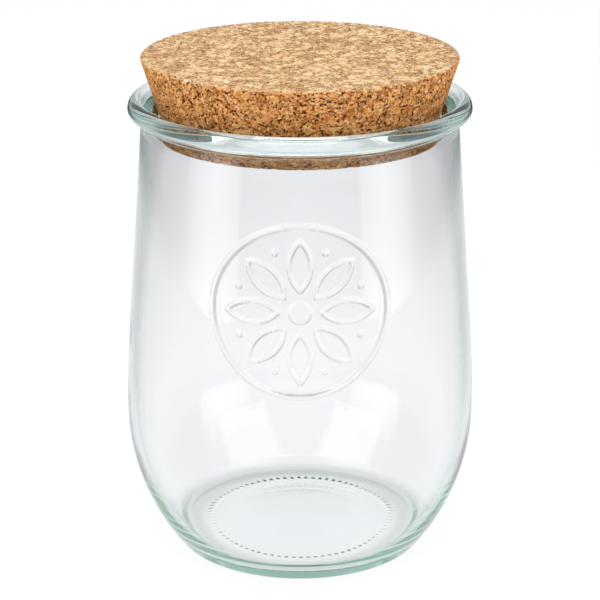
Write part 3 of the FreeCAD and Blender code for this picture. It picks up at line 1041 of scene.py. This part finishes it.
    def relief(self, graph: Graph, at: Turning, size: Sizes) -> Field:
        """The grip notches under the base, the medallion in front and the glass's slight unevenness.

        Args:
            graph: the jar's tree.
            at: what is known at each point.
            size: the tree's inputs.

        Returns:
            How far each point moves outward.
        """
        outside, notch, uneven = at.masks
        pitch = at.angle / size["Pitch"]
        beside = abs(graph.math("FRACT", pitch + self.notch_shift_share) - 0.5)
        flank = (self.notch_half_share - beside) / self.notch_flank_share
        notch_wave = graph.math("MAXIMUM", graph.math("MINIMUM", flank, 1.0), 0.0)
        cut = notch * notch_wave * size["Notch Depth"]

        across, depth, up = graph.parts(at.place)
        rise = up - size["Medallion Level"]
        reach = graph.math("SQRT", across * across + rise * rise)
        turn = graph.math("DEGREES", graph.math("ARCTAN2", across, rise)) / size["Petal Step"]

        def folded(shift: float) -> tuple[Field, Field]:
            """Folds all places onto one petal, or onto the gap beside it.

            Args:
                shift: 0 for a petal, a half for a gap.

            Returns:
                How far a place is beside the middle line, and how far along it.
            """
            part = graph.math("FRACT", turn + (0.5 + shift)) - 0.5
            bent = graph.math("RADIANS", part * size["Petal Step"])
            return abs(reach * graph.math("SINE", bent)), reach * graph.math("COSINE", bent)

        ring = abs(reach - size["Ring Middle"]) - size["Ring Line"] * 0.5
        bud = reach - size["Bud Radius"]
        beside_petal, along_petal = folded(0.0)
        wide = beside_petal + size["Petal Shift"]
        tall = along_petal - size["Petal Middle"]
        lens = graph.math("SQRT", wide * wide + tall * tall) - size["Petal Bend"]
        petal = abs(lens + size["Petal Line"] * 0.5) - size["Petal Line"] * 0.5
        beside_seed, along_seed = folded(0.5)
        tall_seed = along_seed - size["Seed Reach"]
        seed = graph.math("SQRT", beside_seed * beside_seed + tall_seed * tall_seed) - size["Seed Radius"]
        nearest = graph.math("MINIMUM", graph.math("MINIMUM", ring, bud), graph.math("MINIMUM", petal, seed))
        shape = graph.step(nearest, 0.0, -size["Relief Shoulder"])
        front = graph.math("LESS_THAN", depth, 0.0) * graph.math("GREATER_THAN", outside, 0.5)
        raised = shape * front * size["Relief Height"]

        ripple = graph.field(graph.noise(at.place, *self.waves, size["Seed"]))
        sunk = uneven * size["Wave Height"] * ripple
        return raised - cut - sunk

    def dress(self, graph: Graph, geometry: NodeSocket) -> NodeSocket:
        """Glass all over."""
        inputs = {"Geometry": geometry, "Material": self.finish}
        return graph.node("GeometryNodeSetMaterial", inputs).outputs[0]


# Cork


@dataclass
class CorkPlug(TurnedPiece):
    """The tapered cork lid, in millimetres: its section follows the CAD node, with pits pressed into it."""

    face_finish: Material
    side_finish: Material
    name: str = "cork_plug"
    body: Body = Body.LID
    slot: Slot = Slot.CORK
    node_name: str = "cork_lid"
    taper: float = 17.5
    edge_round: float = 0.6
    top_gap: float = 0.005
    pit_depth: float = 0.45
    face_pit_loss: float = 0.55
    uneven: float = 0.12
    flat_from: float = 0.8
    column_count: int = 420
    bottom_steps: int = 34
    edge_steps: int = 4
    side_steps: int = 50
    top_steps: int = 72

    def section(self) -> Section:
        """The rows of the plug, masked as flat faces or as turned side.

        Returns:
            The section, from the middle of the bottom to the middle of the top.
        """
        low, high = (Vector(point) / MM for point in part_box(self.node_name))
        high.z -= self.top_gap
        slope = math.radians(self.taper)
        away = Vector((math.cos(slope), -math.sin(slope)))
        top_centre = Vector((high.x - self.edge_round, high.z - self.edge_round))
        top_side = top_centre + away * self.edge_round
        drop = top_side.y - low.z
        bottom_side_x = top_side.x - drop * math.tan(slope)
        half = (math.pi / 2 + slope) / 2
        reach = self.edge_round / math.tan(half)
        bottom_flat = Vector((bottom_side_x - reach, low.z))
        bottom_centre = Vector((bottom_flat.x, low.z + self.edge_round))
        bottom_side = bottom_centre + away * self.edge_round
        face, side = (1.0, 0.0, 0.0), (0.0, 1.0, 0.0)
        rows = Section(Vector((0, low.z)))
        rows.line(bottom_flat, self.bottom_steps, face)
        rows.arc(bottom_centre, bottom_side, self.edge_steps, side)
        rows.line(top_side, self.side_steps, side)
        rows.arc(top_centre, Vector((top_centre.x, high.z)), self.edge_steps, side)
        rows.line(Vector((0, high.z)), self.top_steps, face)
        return rows

    def sizes(self) -> dict[str, float]:
        """The plug's named inputs.

        Returns:
            The inputs by name, with the lengths in metres.
        """
        return {
            "Columns": self.column_count,
            "Pit Depth": self.pit_depth * MM,
            "Uneven": self.uneven * MM,
            "Face Pits": CORK_FACE.pit_start,
            "Side Pits": CORK_SIDE.pit_start,
            "Seed": CORK_SIDE.seed,
        }

    def angle(self, graph: Graph, column: Field, size: Sizes) -> Field:
        """Equal columns all around."""
        return column * 360.0 / size["Columns"]

    def relief(self, graph: Graph, at: Turning, size: Sizes) -> Field:
        """Pits between the granules and a slightly crumbled surface, all inward.

        Args:
            graph: the plug's tree.
            at: what is known at each point.
            size: the tree's inputs.

        Returns:
            How far each point moves outward, never above 0.
        """
        face = at.masks[0]
        start = size["Side Pits"] + (size["Face Pits"] - size["Side Pits"]) * face
        pattern = CorkGrain().pattern(graph, at.place, start, size["Seed"], CORK_SIDE.grain_scale)
        crumble = (pattern.seam + (1.0 - pattern.fleck)) * size["Uneven"] * 0.5
        depth = pattern.pit * size["Pit Depth"] * (1.0 - face * self.face_pit_loss)
        return -(depth + crumble)

    def dress(self, graph: Graph, geometry: NodeSocket) -> NodeSocket:
        """The turned side first, then the two flat faces by their normals.

        Args:
            graph: the plug's tree.
            geometry: the turned shape.

        Returns:
            The dressed shape.
        """
        sided = graph.node("GeometryNodeSetMaterial", {"Geometry": geometry, "Material": self.side_finish})
        normal = graph.node("GeometryNodeInputNormal").outputs[0]
        flat = graph.math("GREATER_THAN", abs(graph.parts(normal)[2]), self.flat_from)
        inputs = {"Geometry": sided.outputs[0], "Selection": flat, "Material": self.face_finish}
        return graph.node("GeometryNodeSetMaterial", inputs).outputs[0]


# Studio


@dataclass(frozen=True)
class AreaLamp:
    """A soft box: its place, its target, its sides in metres, its watts and its beam in degrees."""

    name: str
    place: Triple
    target: Triple
    width: float
    depth: float
    power: float
    beam: float = 180.0

    def build(self) -> None:
        """Adds the lamp to the scene, hidden from the camera."""
        data = bpy.data.lights.new(self.name, "AREA")
        data.shape = "RECTANGLE"
        data.size = self.width
        data.size_y = self.depth
        data.energy = self.power
        data.spread = math.radians(self.beam)
        lamp = add_object(self.name, data)
        lamp.location = self.place
        aim = Vector(self.target) - Vector(self.place)
        lamp.rotation_euler = aim.to_track_quat("-Z", "Y").to_euler()
        lamp.visible_camera = False


@dataclass(frozen=True)
class Surround:
    """The light from all around: a bright horizon, a dimmer ceiling and a dark card at each side."""

    room: tuple[tuple[float, Colour], ...] = (
        (0.0, (0.95, 0.95, 0.97)),
        (0.15, (0.75, 0.76, 0.79)),
        (0.4, (0.52, 0.54, 0.56)),
        (1.0, (0.42, 0.44, 0.46)),
    )
    card: tuple[float, float] = (0.6, 0.9)
    card_share: float = 0.75
    card_colour: Colour = (0.03, 0.05, 0.045)
    diffuse: Colour = (0.40, 0.41, 0.42)

    def build(self) -> None:
        """White to the camera, an even tone to matt surfaces and the room to everything else."""
        world = bpy.data.worlds.new("surround")
        bpy.context.scene.world = world
        world.use_nodes = True
        world.node_tree.nodes.clear()
        graph = Graph(world.node_tree)
        path = graph.node("ShaderNodeLightPath")
        way = graph.node("ShaderNodeTexCoord").outputs["Generated"]
        across, _, up = graph.parts(way)
        card = graph.step(abs(across), *self.card) * self.card_share
        room = graph.blend(card, graph.ramp(up, self.room), self.card_colour)
        room = graph.blend(path.outputs["Is Diffuse Ray"], room, self.diffuse)
        colour = graph.blend(path.outputs["Is Camera Ray"], room, WHITE)
        light = graph.node("ShaderNodeBackground", {"Color": colour, "Strength": 1.0})
        graph.node("ShaderNodeOutputWorld", {"Surface": light.outputs[0]})


@dataclass(frozen=True)
class Floor:
    """A pale floor in metres, with a brightness of its own for each kind of ray that meets it, and painted
    shade where it is seen through or in the glass.
    """

    name: str = "studio_floor"
    side: float = 8.0
    drop: float = 0.0003
    matt: Colour = (0.86, 0.86, 0.87)
    camera_glow: float = 0.88
    other_glow: float = 0.97
    camera_level: float = 1.06
    bounce: float = 1.2
    # Painted reflection fade: the floor glows less far away, where it is seen in reflections.
    painted_reflection_fade: Step = (0.60, 0.42, 0.05, 1.0)
    # Painted contact shadow: a darker ring under the heel, seen through the glass.
    painted_contact_shadow: Step = (0.038, 0.05, 0.72, 1.0)
    # Keeps the painted contact shadow off the middle, under the push-up.
    under: Step = (0.03, 0.036, 1.0, 0.72)
    # Painted shade: the floor darker far from the jar, seen through the glass.
    painted_distance_shade: Step = (0.13, 0.45, 1.0, 0.90)
    # Painted shade: the floor darker to the left and right, seen through the glass, and darker still further
    # out.
    beside: Step = (0.05, 0.10, 1.0, 0.88)
    painted_far_side_shade: Step = (0.10, 0.16, 1.0, 0.72)
    red_loss: float = 0.014
    green_loss: float = 0.038

    def build(self) -> None:
        """Adds the floor."""
        half = self.side / 2
        corners = [(-half, -half), (half, -half), (half, half), (-half, half)]
        mesh = bpy.data.meshes.new(self.name)
        mesh.from_pydata([(x, y, -self.drop) for x, y in corners], [], [(0, 1, 2, 3)])
        mesh.materials.append(self.material())
        floor = add_object(self.name, mesh)

    def material(self) -> Material:
        """White to the camera with a faint shadow; painted shade makes it darker in places where it shows
        through the glass, and a painted fade darkens it far away where it shows in reflections.

        Returns:
            The material.
        """
        material, graph = new_material("pale_floor")
        path = graph.node("ShaderNodeLightPath")
        place = graph.node("ShaderNodeTexCoord").outputs["Object"]
        across, along, _ = graph.parts(place)
        reach = graph.math("SQRT", across * across + along * along)
        # Painted reflection fade, painted contact shadow with its clear middle, and painted distance shade,
        # each by distance from the jar's axis.
        rings = (self.painted_reflection_fade, self.painted_contact_shadow, self.under, self.painted_distance_shade)
        painted_reflection_level, painted_contact_shadow, under, painted_distance_shade = (graph.step(reach, *ring) for ring in rings)
        # Painted side shade: darker to the left and right, more so further out.
        beside = graph.step(abs(across), *self.beside) * graph.step(abs(across), *self.painted_far_side_shade)
        # Painted shade for the floor as seen through the glass: the contact shadow ring, darker far away and
        # darker to the sides.
        through = graph.math("MAXIMUM", painted_contact_shadow, under) * painted_distance_shade * beside
        kinds = ("Is Camera Ray", "Is Glossy Ray", "Is Transmission Ray", "Is Diffuse Ray")
        camera, glossy, passing, bounced = (graph.field(path, kind) for kind in kinds)
        other = 1.0 - camera
        # Rays through the glass see the painted shade; other rays that aren't camera rays see the painted
        # reflection fade.
        level = camera * self.camera_level + other * (passing * through + (1.0 - passing) * painted_reflection_level)
        level = level * (1.0 - bounced) + bounced * self.bounce
        red = level * (1.0 - passing * self.red_loss)
        green = level * (1.0 - passing * self.green_loss)
        glow = graph.node("ShaderNodeEmission", {"Color": graph.vector(red, green, level)})
        matt = graph.node("ShaderNodeBsdfDiffuse", {"Color": (*self.matt, 1.0)})
        indirect = graph.math("MINIMUM", glossy + passing + bounced, 1.0)
        seen = camera * self.camera_glow + other * indirect * self.other_glow
        mix = graph.node("ShaderNodeMixShader", {0: seen, 1: matt.outputs[0], 2: glow.outputs[0]})
        graph.node("ShaderNodeOutputMaterial", {"Surface": mix.outputs[0]})
        return material


@dataclass
class Studio:
    """The pale floor, the surrounding light, the soft boxes and the camera."""

    camera_place: Triple = (0.0, -0.6596, 0.3111)
    camera_pitch: float = 19.34
    lens: float = 130.7
    sensor: float = 36.0
    max_bounces: int = 48
    glossy_bounces: int = 32
    transmission_bounces: int = 40
    lamps: list[AreaLamp] = field(
        default_factory=lambda: [
            AreaLamp("key", (-0.6, -0.55, 0.85), (0, 0, 0.1), 0.9, 1.4, 5.0),
            AreaLamp("fill", (0.6, -0.55, 0.85), (0, 0, 0.1), 0.9, 1.4, 4.2),
            AreaLamp("top", (0.0, -0.22, 0.70), (0, 0, 0.14), 0.4, 0.4, 2.1),
            AreaLamp("left_box", (-0.40, -0.22, 0.1), (0, 0, 0.1), 0.35, 0.2, 0.042, 60.0),
            AreaLamp("right_box", (0.40, -0.22, 0.1), (0, 0, 0.1), 0.35, 0.2, 0.042, 60.0),
        ]
    )

    def build(self) -> None:
        """Adds the whole studio."""
        scene = bpy.context.scene
        scene.view_settings.view_transform = "Standard"
        scene.cycles.max_bounces = self.max_bounces
        scene.cycles.glossy_bounces = self.glossy_bounces
        scene.cycles.transmission_bounces = self.transmission_bounces
        Surround().build()
        Floor().build()
        for lamp in self.lamps:
            lamp.build()
        data = bpy.data.cameras.new("camera")
        data.lens = self.lens
        data.sensor_width = self.sensor
        camera = add_object("camera", data)
        camera.location = self.camera_place
        camera.rotation_euler = (math.radians(90.0 - self.camera_pitch), 0.0, 0.0)
        scene.camera = camera


def main() -> None:
    """Builds the jar, its lid and the studio."""
    logging.basicConfig(level=logging.INFO, format="%(name)s: %(message)s")
    patches = SmudgeGroup()
    GlassJar(finish=GlassFinish().material(patches)).build()
    CorkPlug(face_finish=CORK_FACE.material(patches), side_finish=CORK_SIDE.material(patches)).build()
    Studio().build()


if __name__ == "__main__":
    main()
